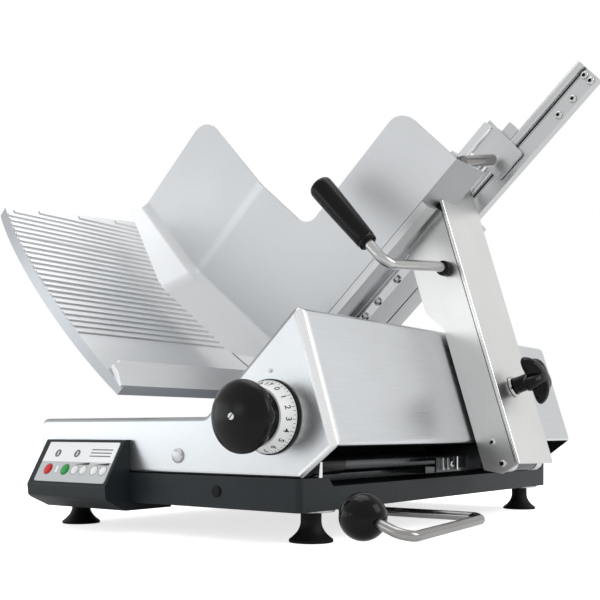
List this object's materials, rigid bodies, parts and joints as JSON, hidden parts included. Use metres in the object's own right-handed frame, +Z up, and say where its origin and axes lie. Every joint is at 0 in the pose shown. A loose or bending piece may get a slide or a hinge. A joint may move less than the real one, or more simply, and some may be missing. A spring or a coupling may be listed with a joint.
{
  "type": "deli meat slicer",
  "caption": "Gravity-feed deli slicer: an inclined round knife with ribbed gauge plate, a tilting product carriage on a side guide, thickness dial, control panel and lift lever.",
  "frame": {"origin": "centre of the bounding box in plan, on the table under the feet", "axes": "+Z up, +Y away from the operator along the carriage's travel, +X to the operator's right"},
  "size_m": [0.6934, 0.715, 0.6152],
  "materials": {
    "aluminium": "satin anodised, fine brushed grain",
    "stainless": "satin stainless sheet",
    "bright": "bright ground and polished steel",
    "anthracite": "semi-matt anthracite paint",
    "black_plastic": "glossy black thermoset",
    "rubber": "matt black",
    "white_plastic": "matt white",
    "grey_foil": "printed membrane foil",
    "red_plastic": "glossy red",
    "green_plastic": "glossy green"
  },
  "bodies": {
    "base": {"foot_plate_front_left": "aluminium", "foot_plate_front_right": "aluminium", "foot_plate_rear_left": "aluminium", "foot_plate_rear_right": "aluminium", "carriage_track": "aluminium", "lever_bearing": "aluminium", "knife_housing": "aluminium", "housing": "stainless", "knife_cover": "stainless", "knife_guard": "stainless", "slice_deflector": "stainless", "slice_tray": "stainless", "housing_plug": "bright", "guide_rod": "bright", "plinth": "anthracite", "panel_box": "anthracite", "guide_block_front": "anthracite", "guide_block_rear": "anthracite", "gauge_guide": "anthracite", "knife_spindle": "anthracite", "dial_flange": "black_plastic", "plinth_plug": "rubber", "foot_front_left": "rubber", "foot_front_right": "rubber", "foot_rear_left": "rubber", "foot_rear_right": "rubber", "guide_buffer": "rubber", "dial_index": "white_plastic", "panel_face": "grey_foil"},
    "gauge": {"gauge_plate": "aluminium", "gauge_carrier": "aluminium"},
    "dial": {"dial_scale": "white_plastic", "dial_knob": "black_plastic", "dial_screw": "bright"},
    "knife_disc": {"knife": "bright"},
    "carriage_slide_block": {"slide_block": "aluminium"},
    "carriage": {"carriage_arm": "aluminium", "post_cover": "aluminium", "tray_sheet": "stainless", "tray_profile": "aluminium", "rail": "aluminium", "handle_bush": "black_plastic", "handle_rod": "bright", "handle_grip": "black_plastic", "clamp_washer": "bright"},
    "clamp": {"clamp_knob": "black_plastic"},
    "holder_slider": {"remnant_slider": "aluminium"},
    "holder": {"remnant_arm": "aluminium", "remnant_pusher": "aluminium"},
    "lift_lever": {"lift_rod": "bright", "lift_ball": "black_plastic"},
    "stop_button": {"stop_button": "red_plastic"},
    "start_button": {"start_button": "green_plastic"},
    "stroke_minus_button": {"stroke_minus_button": "white_plastic"},
    "stroke_plus_button": {"stroke_plus_button": "white_plastic"},
    "speed_minus_button": {"speed_minus_button": "white_plastic"},
    "speed_plus_button": {"speed_plus_button": "white_plastic"}
  },
  "joints": [
    {"name": "carriage_slide", "type": "slide", "parent": "base", "child": "carriage_slide_block", "axis": [0, 1, 0], "range_m": [-0.235, 0.204]},
    {"name": "carriage_tilt", "type": "hinge", "parent": "carriage_slide_block", "child": "carriage", "pos_m": [0.26726, 0.0655, 0.08302], "axis": [0, 1, 0], "range_deg": [0, 45]},
    {"name": "clamp_turn", "type": "hinge", "parent": "carriage", "child": "clamp", "pos_m": [0.27368, 0.0625, 0.18571], "axis": [0.9537, 0, 0.3007], "range_deg": [0, 270]},
    {"name": "gauge_slide", "type": "slide", "parent": "base", "child": "gauge", "axis": [-0.7431, 0, -0.6691], "range_m": [0, 0.02]},
    {"name": "dial_turn", "type": "hinge", "parent": "base", "child": "dial", "pos_m": [0.1402, -0.3225, 0.139], "axis": [0, -1, 0], "range_deg": [0, 302]},
    {"name": "knife_spin", "type": "hinge", "parent": "base", "child": "knife_disc", "pos_m": [-0.18081, 0.1125, 0.28586], "axis": [0.7431, 0, 0.6691], "continuous": true},
    {"name": "holder_slide", "type": "slide", "parent": "carriage", "child": "holder_slider", "axis": [-0.7431, 0, -0.6691], "range_m": [0, 0.24]},
    {"name": "holder_swing", "type": "hinge", "parent": "holder_slider", "child": "holder", "pos_m": [0.17079, 0.1385, 0.50287], "axis": [-0.7431, 0, -0.6691], "range_deg": [0, 100]},
    {"name": "lift_turn", "type": "hinge", "parent": "base", "child": "lift_lever", "pos_m": [0.1802, -0.1425, 0.03], "axis": [-1, 0, 0], "range_deg": [0, 80]},
    {"name": "stop_press", "type": "slide", "parent": "base", "child": "stop_button", "axis": [0, 0.8682, -0.4961], "range_m": [0, 0.0015], "stiffness_N_per_m": 700, "springref_m": -0.001},
    {"name": "start_press", "type": "slide", "parent": "base", "child": "start_button", "axis": [0, 0.8682, -0.4961], "range_m": [0, 0.0015], "stiffness_N_per_m": 700, "springref_m": -0.001},
    {"name": "stroke_minus_press", "type": "slide", "parent": "base", "child": "stroke_minus_button", "axis": [0, 0.8682, -0.4961], "range_m": [0, 0.0015], "stiffness_N_per_m": 700, "springref_m": -0.001},
    {"name": "stroke_plus_press", "type": "slide", "parent": "base", "child": "stroke_plus_button", "axis": [0, 0.8682, -0.4961], "range_m": [0, 0.0015], "stiffness_N_per_m": 700, "springref_m": -0.001},
    {"name": "speed_minus_press", "type": "slide", "parent": "base", "child": "speed_minus_button", "axis": [0, 0.8682, -0.4961], "range_m": [0, 0.0015], "stiffness_N_per_m": 700, "springref_m": -0.001},
    {"name": "speed_plus_press", "type": "slide", "parent": "base", "child": "speed_plus_button", "axis": [0, 0.8682, -0.4961], "range_m": [0, 0.0015], "stiffness_N_per_m": 700, "springref_m": -0.001}
  ],
  "couplings": [
    {"joint": "dial_turn", "follows": "gauge_slide", "rad_per_m": 261.8}
  ]
}
